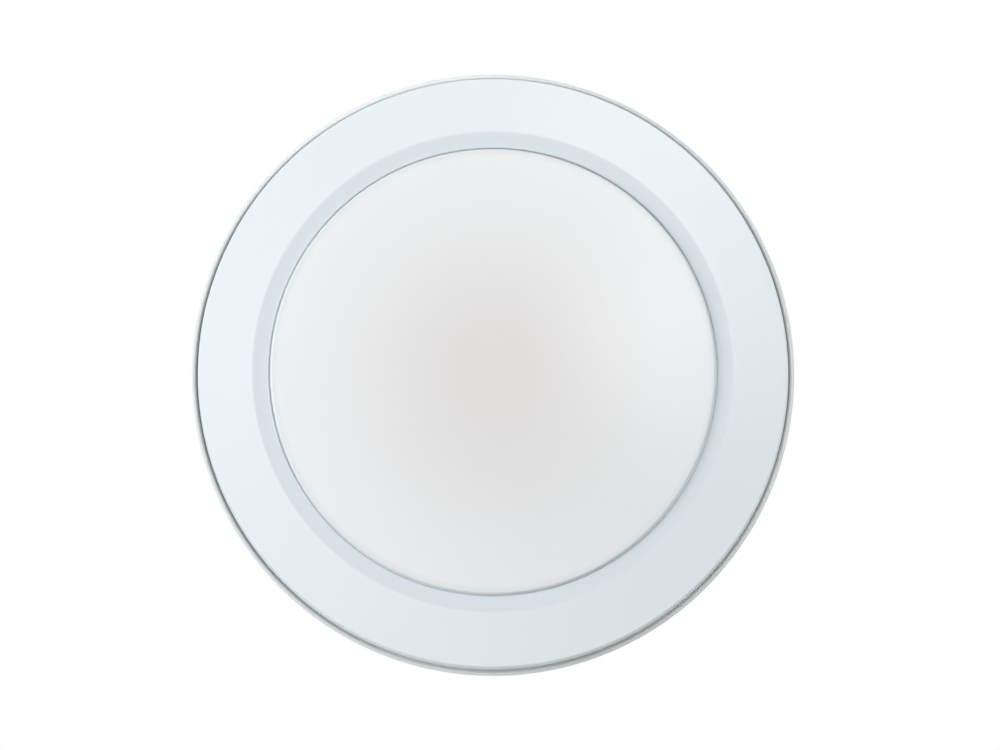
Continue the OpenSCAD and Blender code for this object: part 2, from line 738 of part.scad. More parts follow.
module selector_body() {
  well = [2 * knob_travel + knob_l + window_gap, knob_w + window_gap, selector_size[2] - selector_ear_t];
  color("silver") translate([0, selector_y, 0]) difference() {
    union() {
      block([selector_ear_l, knob_w + selector_wall, selector_ear_t], can_roof - selector_ear_t);
      block(selector_size, can_roof - selector_size[2]);
    }
    block([well[0], well[1], well[2] + eps], can_roof - well[2]);
    for (s = [-1, 1]) translate([s * selector_screw_x, 0, 0])
      rod(selector_screw_r + seat_gap, can_roof - selector_size[2], can_roof + eps);
  }
}

module selector_screws() {
  color("silver") for (s = [-1, 1]) translate([s * selector_screw_x, selector_y, 0])
    turned_down(can_top) screw_up(selector_screw_r, selector_screw_head_r, selector_screw_head_t,
      can_wall + selector_ear_t + free_gap, 0);
}

module selector_knob() {
  foot = [knob_l, knob_w, can_wall + selector_size[2] - selector_ear_t - run_gap / 2 + knob_h];
  color("black") translate([0, selector_y, 0]) difference() {
    block(foot, can_top + knob_h - foot[2]);
    for (x = [-1, 0, 1]) translate([x * knob_l / 4, 0, 0])
      block([knob_groove, knob_w + eps, eps + knob_groove], can_top + knob_h - knob_groove);
  }
}

mounting_plate();
ground_screw();
base_pan();
shoulder_studs();
soffit_gasket();
trim_ring();
trim_screws();
lens();
lens_seal();
reflector();
thermal_pad();
led_board();
led_chips();
board_screws();
board_connector();
output_leads();
driver_housing();
housing_seal();
housing_screws();
insulating_tray();
driver_board();
transformer_core();
transformer_winding();
input_capacitor();
output_capacitor();
film_capacitor();
rectifier();
choke();
varistor();
fuse();
control_chip();
wire_grommet();
selector_body();
selector_screws();
selector_knob();
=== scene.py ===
# Surface-mounted soffit downlight: its looks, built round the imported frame, in metres.
# The soffit is at z = 0, the light hangs below it, and x runs along the plate's box slots.
import json
import math
import bmesh
import bpy
from mathutils import Matrix, Vector


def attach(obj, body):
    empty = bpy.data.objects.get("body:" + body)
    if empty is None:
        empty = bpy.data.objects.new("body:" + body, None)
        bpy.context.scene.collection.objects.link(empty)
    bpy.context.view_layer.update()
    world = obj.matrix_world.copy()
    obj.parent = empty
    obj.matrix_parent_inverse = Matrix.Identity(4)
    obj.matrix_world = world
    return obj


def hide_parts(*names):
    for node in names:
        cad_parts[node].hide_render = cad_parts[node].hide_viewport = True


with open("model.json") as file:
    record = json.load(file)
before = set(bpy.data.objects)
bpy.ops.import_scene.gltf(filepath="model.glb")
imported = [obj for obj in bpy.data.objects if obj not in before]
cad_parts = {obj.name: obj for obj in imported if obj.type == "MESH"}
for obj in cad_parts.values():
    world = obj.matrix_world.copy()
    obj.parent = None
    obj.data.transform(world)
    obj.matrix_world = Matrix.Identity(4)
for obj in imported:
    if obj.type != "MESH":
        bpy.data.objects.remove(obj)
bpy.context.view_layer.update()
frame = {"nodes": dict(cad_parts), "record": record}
mm = 0.001
noiseMiddle = 0.5
print("Frame loaded,", len(frame["nodes"]), "nodes")


# A value that runs through a node tree: operators on it add Math nodes.
class Wire:
    def __init__(self, graph, socket):
        self.graph = graph
        self.socket = socket

    def side(self, name):  # another output of the same node
        return Wire(self.graph, self.socket.node.outputs[name])

    def reckon(self, operation, first, second=0.0, clamp=False):
        return self.graph.add("ShaderNodeMath", {"operation": operation, "use_clamp": clamp},
                              {0: first, 1: second})

    def __add__(self, other):
        return self.reckon("ADD", self, other)

    def __radd__(self, other):
        return self.reckon("ADD", other, self)

    def __sub__(self, other):
        return self.reckon("SUBTRACT", self, other)

    def __rsub__(self, other):
        return self.reckon("SUBTRACT", other, self)

    def __mul__(self, other):
        return self.reckon("MULTIPLY", self, other)

    def __rmul__(self, other):
        return self.reckon("MULTIPLY", other, self)

    def __truediv__(self, other):
        return self.reckon("DIVIDE", self, other)

    def __rtruediv__(self, other):
        return self.reckon("DIVIDE", other, self)

    def __pow__(self, other):
        return self.reckon("POWER", self, other)

    def __rpow__(self, other):
        return self.reckon("POWER", other, self)

    def over(self, limit):  # 1 past the limit and 0 before it
        return self.reckon("GREATER_THAN", self, limit)

    def sine(self):
        return self.reckon("SINE", self)

    def cosine(self):
        return self.reckon("COSINE", self)

    def capped(self):  # held between 0 and 1
        return self.reckon("ADD", self, clamp=True)

    def ramp(self, start, end):  # 0 up to the start, 1 from the end on
        return ((self - start) / (end - start)).capped()

    def about(self, middle, swing):  # a noise that swings about another middle
        return (self - noiseMiddle) * swing + middle

    def contrast(self, gain):  # a noise spread wider about its own middle
        return self.about(noiseMiddle, gain).capped()

    def blended(self, other, share):
        return self * share + other * (1.0 - share)


# Where a Mix node keeps its colours, by socket number.
mixSockets = {"factor": 0, "first": 6, "second": 7, "result": 2}


# Adds nodes to a shader or geometry tree.
class Graph:
    def __init__(self, tree):
        self.tree = tree

    def add(self, kind, settings=None, values=None, out=0):
        node = self.tree.nodes.new(kind)
        for name, value in (settings or {}).items():
            setattr(node, name, value)
        for name, value in (values or {}).items():
            for item in value if isinstance(value, list) else [value]:
                if isinstance(item, Wire):
                    self.tree.links.new(item.socket, node.inputs[name])
                else:
                    node.inputs[name].default_value = item
        return Wire(self, node.outputs[out]) if len(node.outputs) else None

    def mixed(self, mask, first, second):  # each colour is a tuple or a link
        values = {mixSockets["factor"]: mask}
        for socket, colour in (("first", first), ("second", second)):
            values[mixSockets[socket]] = (*colour, 1.0) if isinstance(colour, tuple) else colour
        return self.add("ShaderNodeMix", {"data_type": "RGBA", "clamp_factor": True}, values,
                        out=mixSockets["result"])

    def noise(self, place, size, detail=2.0, roughness=0.5):
        return self.add("ShaderNodeTexNoise", {}, {
            "Vector": place, "Scale": 1.0 / size, "Detail": detail, "Roughness": roughness})

    def stretched(self, place, scale):
        return self.add("ShaderNodeMapping", {}, {"Vector": place, "Scale": scale})

    def split(self, place):
        return self.add("ShaderNodeSeparateXYZ", {}, {"Vector": place})

    def radius(self, place):  # distance from the z axis
        parts = self.split(place)
        return (parts.side("X") ** 2 + parts.side("Y") ** 2) ** 0.5

    def bumped(self, height, depth, under=None):
        values = {"Height": height, "Distance": depth, "Strength": 1.0}
        if under is not None:
            values["Normal"] = under
        return self.add("ShaderNodeBump", {}, values)

    def surface(self, values):
        return self.add("ShaderNodeBsdfPrincipled", {}, values)


def newObject(name, data):
    thing = bpy.data.objects.new(name, data)
    bpy.context.scene.collection.objects.link(thing)
    return thing


# Tilt is in degrees off the light's axis, lens and sensor are in millimetres.
camera = {"distance": 2.5, "tilt": 3.7, "aim": (0.0022, 0.0, 0.0), "lens": 284.3, "sensor": 36.0,
          "reach": 50.0}


# The camera looks up at the light from below, with the top of the view towards -y.
def setCamera():
    tilt = math.radians(camera["tilt"])
    back = Vector((0.0, math.sin(tilt), -math.cos(tilt)))
    up = Vector((0.0, -math.cos(tilt), -math.sin(tilt)))
    right = up.cross(back)
    place = Vector(camera["aim"]) + back * camera["distance"]
    optics = bpy.data.cameras.new("photoCamera")
    optics.lens = camera["lens"]
    optics.sensor_width = camera["sensor"]
    optics.clip_end = camera["reach"]
    holder = newObject("photoCamera", optics)
    rows = [(right[i], up[i], back[i], place[i]) for i in range(3)]
    holder.matrix_world = Matrix(rows + [(0.0, 0.0, 0.0, 1.0)])
    bpy.context.scene.camera = holder


# offAxis is the angle from straight below and round the angle from +x, both in degrees.
# The first four light the front, the last two the skirt and the back.
lamps = {
    "keySoftbox": {"offAxis": 60, "round": 183, "size": 1.5, "power": 33.5},
    "crossSoftbox": {"offAxis": 40, "round": 300, "size": 1.5, "power": 15.0},
    "rimSoftbox": {"offAxis": 20, "round": 335, "size": 0.6, "power": 9.5},
    "lowSoftbox": {"offAxis": 22, "round": 110, "size": 1.5, "power": 1.5},
    "skirtSoftbox": {"offAxis": 115, "round": 95, "size": 2.6, "power": 13.0},
    "topSoftbox": {"offAxis": 148, "round": 305, "size": 3.2, "power": 25.0},
}
lampDistance = 2.6


def setLamps():
    for name, lamp in lamps.items():
        light = bpy.data.lights.new(name, "AREA")
        light.shape = "DISK"
        light.size = lamp["size"]
        light.energy = lamp["power"]
        offAxis = math.radians(lamp["offAxis"])
        turn = math.radians(lamp["round"])
        across = math.sin(offAxis)
        toward = Vector((across * math.cos(turn), across * math.sin(turn), -math.cos(offAxis)))
        holder = newObject(name, light)
        holder.location = toward * lampDistance
        holder.rotation_euler = toward.to_track_quat("Z", "Y").to_euler()
        holder.visible_camera = False


# 1 for what the camera sees, straight or in gloss and glass, and 0 for what lights the object.
def directRays(graph):
    ray = graph.add("ShaderNodeLightPath")
    seen = ray.side("Is Camera Ray") + ray.side("Is Glossy Ray") + ray.side("Is Transmission Ray")
    return seen.capped()


# The surround is white to the camera and in reflections, and a plain level to everything else.
surround = {"seen": (1.0, 1.0, 1.0), "ambient": 0.35, "ambientTint": (0.94, 0.974, 1.0)}


def setSurround():
    world = bpy.data.worlds.new("studio")
    world.use_nodes = True
    world.node_tree.nodes.clear()
    graph = Graph(world.node_tree)
    plain = graph.add("ShaderNodeBackground", {}, {
        "Color": (*surround["ambientTint"], 1.0), "Strength": surround["ambient"]})
    seen = graph.add("ShaderNodeBackground", {}, {"Color": (*surround["seen"], 1.0), "Strength": 1.0})
    both = graph.add("ShaderNodeMixShader", {}, {0: directRays(graph), 1: plain, 2: seen})
    graph.add("ShaderNodeOutputWorld", {}, {"Surface": both})
    bpy.context.scene.world = world
    bpy.context.scene.view_settings.view_transform = "Standard"


# The camera sees the floor as a share of its seen colour and, for the rest, as lit matt paint with
# the object's shadow. Between the two fade radii it passes into the white of the surround.
floor = {"height": -3.4, "halfWidth": 9.0, "colour": (0.86, 0.86, 0.85), "roughness": 0.8,
         "seen": (0.97, 0.97, 0.97), "share": 0.85, "fadeStart": 3.0, "fadeEnd": 8.5}


def dressFloor(graph, place, look):
    far = graph.radius(place).ramp(look["fadeStart"], look["fadeEnd"])
    matt = graph.surface({"Base Color": (*look["colour"], 1.0), "Roughness": look["roughness"]})
    seen = graph.mixed(far, look["seen"], surround["seen"])
    pale = graph.add("ShaderNodeEmission", {}, {"Color": seen, "Strength": 1.0})
    share = far * (1.0 - look["share"]) + look["share"]
    return graph.add("ShaderNodeMixShader", {}, {0: directRays(graph) * share, 1: matt, 2: pale})


def setFloor():
    half = floor["halfWidth"]
    mesh = bpy.data.meshes.new("floor")
    corners = [(-half, -half), (half, -half), (half, half), (-half, half)]
    mesh.from_pydata([(x, y, floor["height"]) for x, y in corners], [], [(0, 1, 2, 3)])
    mesh.materials.append(newFinish("floorPaint", dressFloor, floor))
    slab = newObject("floor", mesh)


finishes = {}


def newFinish(name, dress, look):
    material = bpy.data.materials.new(name)
    material.use_nodes = True
    material.node_tree.nodes.clear()
    graph = Graph(material.node_tree)
    place = graph.add("ShaderNodeTexCoord", out="Object")
    graph.add("ShaderNodeOutputMaterial", {}, {"Surface": dress(graph, place, look)})
    finishes[name] = material
    return material


# Powder coat: satin, with a faint orange peel and a trace of tone between thick and thin spots.
# The flat band inside the ridge is a shade greyer.
powderCoat = {
    "thick": (0.862, 0.912, 0.945), "thin": (0.848, 0.90, 0.936), "cloudSize": 26 * mm, "cloudContrast": 1.6,
    "gloss": 0.33, "glossSwing": 0.08, "shine": 0.6, "peelSize": 1.6 * mm, "peelDepth": 0.004 * mm,
    "grainSize": 0.35 * mm, "grainDepth": 0.002 * mm,
    "band": (0.722, 0.788, 0.83), "bandEdge": 76.0 * mm, "bandBlend": 0.7 * mm,
}


def dressPowderCoat(graph, place, look):
    cloud = graph.noise(place, look["cloudSize"])
    peel = graph.noise(place, look["peelSize"])
    grain = graph.noise(place, look["grainSize"])
    coat = graph.mixed(cloud.contrast(look["cloudContrast"]), look["thin"], look["thick"])
    inside = graph.radius(place).ramp(look["bandEdge"], look["bandEdge"] - look["bandBlend"])
    ripple = graph.bumped(peel, look["peelDepth"])
    return graph.surface({
        "Base Color": graph.mixed(inside, coat, look["band"]),
        "Roughness": peel.about(look["gloss"], look["glossSwing"]),
        "Specular IOR Level": look["shine"],
        "Normal": graph.bumped(grain, look["grainDepth"], ripple)})


# Opal lens, with painted light: lighter at the rim as painted glow of light through the opal, a trace warmer
# and darker in the middle as painted shade of the board behind, and darker and cooler past the edge radius as
# painted shade where the wall turns down.
opal = {
    "middle": (0.806, 0.778, 0.768), "rim": (0.895, 0.915, 0.932), "edge": (0.83, 0.855, 0.872),
    "innerRadius": 12 * mm, "outerRadius": 72 * mm, "edgeRadius": 67.6 * mm, "edgeBlend": 1.6 * mm,
    "cloudSize": 30 * mm, "cloudSwing": 0.12, "gloss": 0.33, "glossSwing": 0.04,
    "grainSize": 0.5 * mm, "grainDepth": 0.003 * mm,
}


def dressOpal(graph, place, look):
    radius = graph.radius(place)
    cloud = graph.noise(place, look["cloudSize"])
    grain = graph.noise(place, look["grainSize"])
    # Painted glow towards the rim and painted board shade in the middle.
    reach = cloud.about(radius.ramp(look["innerRadius"], look["outerRadius"]), look["cloudSwing"])
    body = graph.mixed(reach, look["middle"], look["rim"])
    # Painted shade past the edge radius, where the wall turns down.
    beyond = radius.ramp(look["edgeRadius"], look["edgeRadius"] + look["edgeBlend"])
    return graph.surface({
        "Base Color": graph.mixed(beyond, body, look["edge"]),
        "Roughness": cloud.about(look["gloss"], look["glossSwing"]),
        "Normal": graph.bumped(grain, look["grainDepth"])})


# Painted shade in the gasket's gutter, where the trim's wall shades it: darkest at the two ends of x
# and lightest towards +y. Inside the start radius the finish stays unshaded, for the lens seal.
gutterPaintedShade = {
    "colour": (0.28, 0.295, 0.30), "start": 90.0 * mm, "inner": 93.45 * mm, "outer": 93.9 * mm,
    "top": -1.0 * mm, "topBlend": 0.3 * mm, "endShare": 0.75, "lowShare": 0.2,
}


def addGutterPaintedShade(graph, place, dirt, unshaded):
    # Painted shade: the gutter is darkened below its top, spread unevenly round the circle.
    parts = graph.split(place)
    radius = graph.radius(place)
    inward = radius.ramp(dirt["outer"], dirt["inner"])
    below = parts.side("Z").ramp(dirt["top"], dirt["top"] - dirt["topBlend"])
    beyond = radius.over(dirt["start"])
    ends = (parts.side("X") / radius) ** 2 * dirt["endShare"] + (1.0 - dirt["endShare"])
    spread = (ends - parts.side("Y") / radius * dirt["lowShare"]).capped()
    return graph.mixed(inward * below * beyond * spread, unshaded, dirt["colour"])


# Rubber and silicone: matt, with moulding haze and fine specks.
elastomerGrain = {"hazeSize": 9 * mm, "hazeContrast": 1.8, "hazeShare": 0.7, "glossSwing": 0.16,
                  "speckSize": 0.45 * mm, "speckDepth": 0.003 * mm}
elastomers = {
    "pale_silicone": {"colour": (0.86, 0.89, 0.88), "bloom": (0.90, 0.92, 0.915), "gloss": 0.52,
                      "dirt": gutterPaintedShade},
    "grey_silicone": {"colour": (0.52, 0.53, 0.54), "bloom": (0.64, 0.65, 0.66), "gloss": 0.7},
    "black_rubber": {"colour": (0.022, 0.022, 0.023), "bloom": (0.075, 0.075, 0.073), "gloss": 0.62},
}


def dressElastomer(graph, place, look):
    grain = elastomerGrain
    haze = graph.noise(place, grain["hazeSize"], detail=4, roughness=0.6)
    specks = graph.noise(place, grain["speckSize"], detail=3)
    tone = haze.contrast(grain["hazeContrast"]).blended(specks, grain["hazeShare"])
    shade = graph.mixed(tone, look["colour"], look["bloom"])
    # Where a look has it, painted shade darkens the gasket's gutter.
    if "dirt" in look:
        shade = addGutterPaintedShade(graph, place, look["dirt"], shade)
    return graph.surface({
        "Base Color": shade,
        "Roughness": haze.about(look["gloss"], grain["glossSwing"]),
        "Normal": graph.bumped(specks, grain["speckDepth"])})


# Moulded plastic and what looks like it: a fine skin, flow tone and slight gloss patches.
mouldingGrain = {"flowSize": 14 * mm, "flowStretch": (1.0, 1.0, 2.5), "flowContrast": 2.0, "flowShare": 0.75,
                 "flowSwing": 0.14, "skinSwing": 0.08}
mouldings = {
    "white_plastic": {"colour": (0.84, 0.84, 0.825), "pale": (0.89, 0.89, 0.88), "gloss": 0.46,
                      "skinSize": 0.35 * mm, "skinDepth": 0.022 * mm},
    "ivory_plastic": {"colour": (0.80, 0.775, 0.68), "pale": (0.88, 0.86, 0.78), "gloss": 0.45,
                      "skinSize": 0.3 * mm, "skinDepth": 0.012 * mm},
    "black_plastic": {"colour": (0.028, 0.028, 0.03), "pale": (0.06, 0.06, 0.062), "gloss": 0.42,
                      "skinSize": 0.25 * mm, "skinDepth": 0.015 * mm},
    "brown_plastic": {"colour": (0.20, 0.09, 0.045), "pale": (0.27, 0.14, 0.08), "gloss": 0.4,
                      "skinSize": 0.3 * mm, "skinDepth": 0.008 * mm},
    "yellow_plastic": {"colour": (0.78, 0.53, 0.08), "pale": (0.88, 0.66, 0.16), "gloss": 0.3,
                       "skinSize": 0.4 * mm, "skinDepth": 0.006 * mm},
    "red_insulation": {"colour": (0.52, 0.055, 0.045), "pale": (0.64, 0.10, 0.075), "gloss": 0.33,
                       "skinSize": 0.5 * mm, "skinDepth": 0.008 * mm},
    "blue_lacquer": {"colour": (0.05, 0.17, 0.44), "pale": (0.10, 0.26, 0.56), "gloss": 0.3,
                     "skinSize": 0.8 * mm, "skinDepth": 0.02 * mm},
    "capacitor_sleeve": {"colour": (0.075, 0.095, 0.21), "pale": (0.12, 0.145, 0.29), "gloss": 0.28,
                         "skinSize": 0.6 * mm, "skinDepth": 0.006 * mm},
    "ferrite": {"colour": (0.085, 0.085, 0.09), "pale": (0.145, 0.145, 0.15), "gloss": 0.62,
                "skinSize": 0.2 * mm, "skinDepth": 0.03 * mm},
}


def dressMoulding(graph, place, look):
    grain = mouldingGrain
    drawn = graph.stretched(place, grain["flowStretch"])
    flow = graph.noise(drawn, grain["flowSize"], detail=4, roughness=0.55)
    skin = graph.noise(place, look["skinSize"], detail=3, roughness=0.6)
    tone = flow.contrast(grain["flowContrast"]).blended(skin, grain["flowShare"])
    gloss = flow.about(look["gloss"], grain["flowSwing"])
    return graph.surface({
        "Base Color": graph.mixed(tone, look["colour"], look["pale"]),
        "Roughness": skin.about(gloss, grain["skinSwing"]),
        "Normal": graph.bumped(skin, look["skinDepth"])})


# Zinc-plated sheet: rolled grain along x, fine pits, and a faint blue and straw passivation.
zincSheet = {
    "blue": (0.62, 0.655, 0.69), "straw": (0.69, 0.675, 0.635), "cloudSize": 11 * mm, "cloudContrast": 2.2,
    "cloudShare": 0.8, "rollStretch": (0.03, 1.0, 1.0), "grainSize": 0.28 * mm, "grainDepth": 0.006 * mm,
    "pitSize": 0.8 * mm, "pitDepth": 0.008 * mm, "gloss": 0.30, "grainSwing": 0.22, "pitSwing": 0.12,
}


def dressZinc(graph, place, look):
    drawn = graph.stretched(place, look["rollStretch"])
    rolled = graph.noise(drawn, look["grainSize"], detail=4, roughness=0.65)
    cloud = graph.noise(place, look["cloudSize"], detail=3, roughness=0.6)
    pits = graph.noise(place, look["pitSize"], detail=3)
    tone = cloud.contrast(look["cloudContrast"]).blended(rolled, look["cloudShare"])
    gloss = rolled.about(look["gloss"], look["grainSwing"])
    return graph.surface({
        "Metallic": 1.0,
        "Base Color": graph.mixed(tone, look["blue"], look["straw"]),
        "Roughness": pits.about(gloss, look["pitSwing"]),
        "Normal": graph.bumped(rolled, look["grainDepth"], graph.bumped(pits, look["pitDepth"]))})


# Plated steel: handling marks drawn out along y, and a fine grain.
platingGrain = {"markSize": 0.9 * mm, "markStretch": (1.0, 0.25, 1.0), "markSwing": 0.26,
                "fineSize": 0.16 * mm, "fineDepth": 0.004 * mm}
platings = {
    "bright_steel": {"colour": (0.70, 0.69, 0.67), "pale": (0.79, 0.785, 0.77), "gloss": 0.24},
    "green_steel": {"colour": (0.035, 0.30, 0.12), "pale": (0.075, 0.42, 0.20), "gloss": 0.30},
}


def dressPlating(graph, place, look):
    grain = platingGrain
    drawn = graph.stretched(place, grain["markStretch"])
    marks = graph.noise(drawn, grain["markSize"], detail=4, roughness=0.7)
    fine = graph.noise(place, grain["fineSize"])
    return graph.surface({
        "Metallic": 1.0,
        "Base Color": graph.mixed(marks, look["colour"], look["pale"]),
        "Roughness": marks.about(look["gloss"], grain["markSwing"]),
        "Normal": graph.bumped(fine, grain["fineDepth"])})


# Die-cast aluminium: blasted skin, cold-flow tone and patches of duller cast film.
casting = {
    "film": (0.53, 0.54, 0.55), "bright": (0.70, 0.705, 0.71), "flowSize": 13 * mm, "flowContrast": 1.9,
    "flowShare": 0.6, "patchSize": 3 * mm, "patchShare": 0.25, "skinSize": 0.32 * mm, "skinShare": 0.15,
    "flowDepth": 0.05 * mm, "skinDepth": 0.03 * mm, "gloss": 0.44, "flowSwing": 0.2, "skinSwing": 0.14,
}


def dressCasting(graph, place, look):
    flow = graph.noise(place, look["flowSize"], detail=5, roughness=0.6)
    patch = graph.noise(place, look["patchSize"], detail=3)
    skin = graph.noise(place, look["skinSize"], detail=3, roughness=0.65)
    small = patch * look["patchShare"] + skin * look["skinShare"]
    tone = flow.contrast(look["flowContrast"]) * look["flowShare"] + small
    gloss = flow.about(look["gloss"], look["flowSwing"])
    return graph.surface({
        "Metallic": 1.0,
        "Base Color": graph.mixed(tone, look["film"], look["bright"]),
        "Roughness": skin.about(gloss, look["skinSwing"]),
        "Normal": graph.bumped(skin, look["skinDepth"], graph.bumped(flow, look["flowDepth"]))})


# Circuit boards: copper areas with narrow gaps between them show faintly under the solder mask.
boardGrain = {"gap": 0.08, "copperShare": 0.85, "copperDepth": 0.02 * mm, "weaveSize": 0.4 * mm,
              "weaveDepth": 0.006 * mm, "glossSwing": 0.1}
boards = {
    "white_board": {"mask": (0.90, 0.905, 0.90), "copper": (0.84, 0.835, 0.81), "gloss": 0.32,
                    "area": 7.0 * mm},
    "green_board": {"mask": (0.025, 0.20, 0.085), "copper": (0.06, 0.33, 0.13), "gloss": 0.22,
                    "area": 2.6 * mm},
}


def dressBoard(graph, place, look):
    grain = boardGrain
    inset = graph.add("ShaderNodeTexVoronoi", {"feature": "DISTANCE_TO_EDGE"},
                      {"Vector": place, "Scale": 1.0 / look["area"]})
    copper = inset.over(grain["gap"])
    weave = graph.noise(place, grain["weaveSize"])
    cloth = graph.bumped(weave, grain["weaveDepth"])
    return graph.surface({
        "Base Color": graph.mixed(copper.blended(weave, grain["copperShare"]), look["mask"], look["copper"]),
        "Roughness": weave.about(look["gloss"], grain["glossSwing"]),
        "Normal": graph.bumped(copper, grain["copperDepth"], cloth)})


# Wound pieces: wire or tape in even turns up the z axis, with painted highlight on the crowns and painted
# shade in the grooves. A low power makes the crowns broad.
windingGrain = {"crownPower": 0.4, "crownShare": 0.8, "driftSize": 2.2 * mm, "glossSwing": 0.12}
windings = {
    "enamelled_copper": {"groove": (0.24, 0.085, 0.035), "crown": (0.58, 0.27, 0.13), "gloss": 0.26,
                         "pitch": 0.42 * mm, "depth": 0.12 * mm},
    "yellow_tape": {"groove": (0.72, 0.54, 0.08), "crown": (0.90, 0.75, 0.20), "gloss": 0.24,
                    "pitch": 2.1 * mm, "depth": 0.04 * mm},
}


def dressWinding(graph, place, look):
    grain = windingGrain
    wave = (graph.split(place).side("Z") * (2 * math.pi / look["pitch"])).sine()
    crown = (wave * 0.5 + 0.5) ** grain["crownPower"]
    drift = graph.noise(place, grain["driftSize"], detail=3)
    return graph.surface({
        # The crown colour is painted highlight and the groove colour is painted shade.
        "Base Color": graph.mixed(crown.blended(drift, grain["crownShare"]), look["groove"], look["crown"]),
        "Roughness": drift.about(look["gloss"], grain["glossSwing"]),
        "Normal": graph.bumped(crown, look["depth"])})


# LED chips: phosphor with a fine grain.
phosphor = {"deep": (0.88, 0.66, 0.12), "pale": (0.95, 0.83, 0.36), "gloss": 0.45, "glossSwing": 0.2,
            "grainSize": 0.18 * mm, "grainDepth": 0.01 * mm}


def dressPhosphor(graph, place, look):
    grain = graph.noise(place, look["grainSize"], detail=3)
    return graph.surface({
        "Base Color": graph.mixed(grain, look["deep"], look["pale"]),
        "Roughness": grain.about(look["gloss"], look["glossSwing"]),
        "Normal": graph.bumped(grain, look["grainDepth"])})


def makeFinishes():
    newFinish("white_paint", dressPowderCoat, powderCoat)
    newFinish("opal_plastic", dressOpal, opal)
    newFinish("zinc_steel", dressZinc, zincSheet)
    newFinish("cast_aluminium", dressCasting, casting)
    newFinish("led_phosphor", dressPhosphor, phosphor)
    families = ((elastomers, dressElastomer), (mouldings, dressMoulding), (platings, dressPlating),
                (boards, dressBoard), (windings, dressWinding))
    for looks, dress in families:
        for name, look in looks.items():
            newFinish(name, dress, look)


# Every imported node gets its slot's finish, also where a finer piece replaces it.
def paintNodes():
    for row in frame["record"]["subparts"]:
        for slot in frame["nodes"][row["node"]].material_slots:
            slot.material = finishes[row["material_slot"]]


def newTree(name, inputs):
    tree = bpy.data.node_groups.new(name, "GeometryNodeTree")
    tree.interface.new_socket(name="Geometry", in_out="INPUT", socket_type="NodeSocketGeometry")
    for label, kind in inputs.items():
        tree.interface.new_socket(name=label, in_out="INPUT", socket_type="NodeSocket" + kind)
    tree.interface.new_socket(name="Geometry", in_out="OUTPUT", socket_type="NodeSocketGeometry")
    graph = Graph(tree)
    return graph, graph.add("NodeGroupInput")


def endTree(graph, source, shape):
    whole = graph.add("GeometryNodeRealizeInstances", {}, {"Geometry": shape})
    painted = graph.add("GeometryNodeSetMaterial", {}, {"Geometry": whole, "Material": source.side("Finish")})
    graph.add("NodeGroupOutput", {}, {"Geometry": painted})
    return graph.tree


# Nodes that turn an outline round z. The outline's x is its distance from the core and its y runs downwards.
turnedInputs = {"Core Radius": "Float", "Segments": "Int", "Corner Steps": "Int", "Crease Angle": "Float",
                "Finish": "Material"}
seamGap = 0.002 * mm  # points nearer than this are merged, at the seam and at the poles


def addTurned(graph, source):
    outline = graph.add("GeometryNodeMeshToCurve", {}, {"Mesh": source})
    corner = graph.add("GeometryNodeInputNamedAttribute", {"data_type": "FLOAT"}, {"Name": "corner"})
    eased = graph.add("GeometryNodeFilletCurve", {"mode": "POLY"}, {
        "Curve": outline, "Radius": corner, "Count": source.side("Corner Steps"), "Limit Radius": True})
    path = graph.add("GeometryNodeCurvePrimitiveCircle", {}, {
        "Resolution": source.side("Segments"), "Radius": source.side("Core Radius")})
    shell = graph.add("GeometryNodeCurveToMesh", {}, {"Curve": path, "Profile Curve": eased})
    closed = graph.add("GeometryNodeMergeByDistance", {}, {"Geometry": shell, "Distance": seamGap})
    smooth = graph.add("GeometryNodeSetShadeSmooth", {"domain": "FACE"}, {
        "Geometry": closed, "Shade Smooth": True})
    bend = graph.add("GeometryNodeInputMeshEdgeAngle")
    sharp = graph.add("FunctionNodeCompare", {"data_type": "FLOAT", "operation": "GREATER_THAN"}, {
        0: bend, 1: source.side("Crease Angle")})
    return graph.add("GeometryNodeSetShadeSmooth", {"domain": "EDGE"}, {
        "Geometry": smooth, "Selection": sharp, "Shade Smooth": False})


def makeTurnedTree():
    graph, source = newTree("turned", turnedInputs)
    return endTree(graph, source, addTurned(graph, source))


# Turned pieces on a circle, with a cross recess in the top where Recess Depth isn't 0.
# Each is spun at random about its own axis, as screws are when driven.
screwInputs = {**turnedInputs, "Count": "Int", "Circle Radius": "Float", "First Angle": "Float",
               "Centre": "Vector", "Recess Top": "Float", "Recess Depth": "Float",
               "Recess Length": "Float", "Recess Width": "Float", "Seed": "Int"}


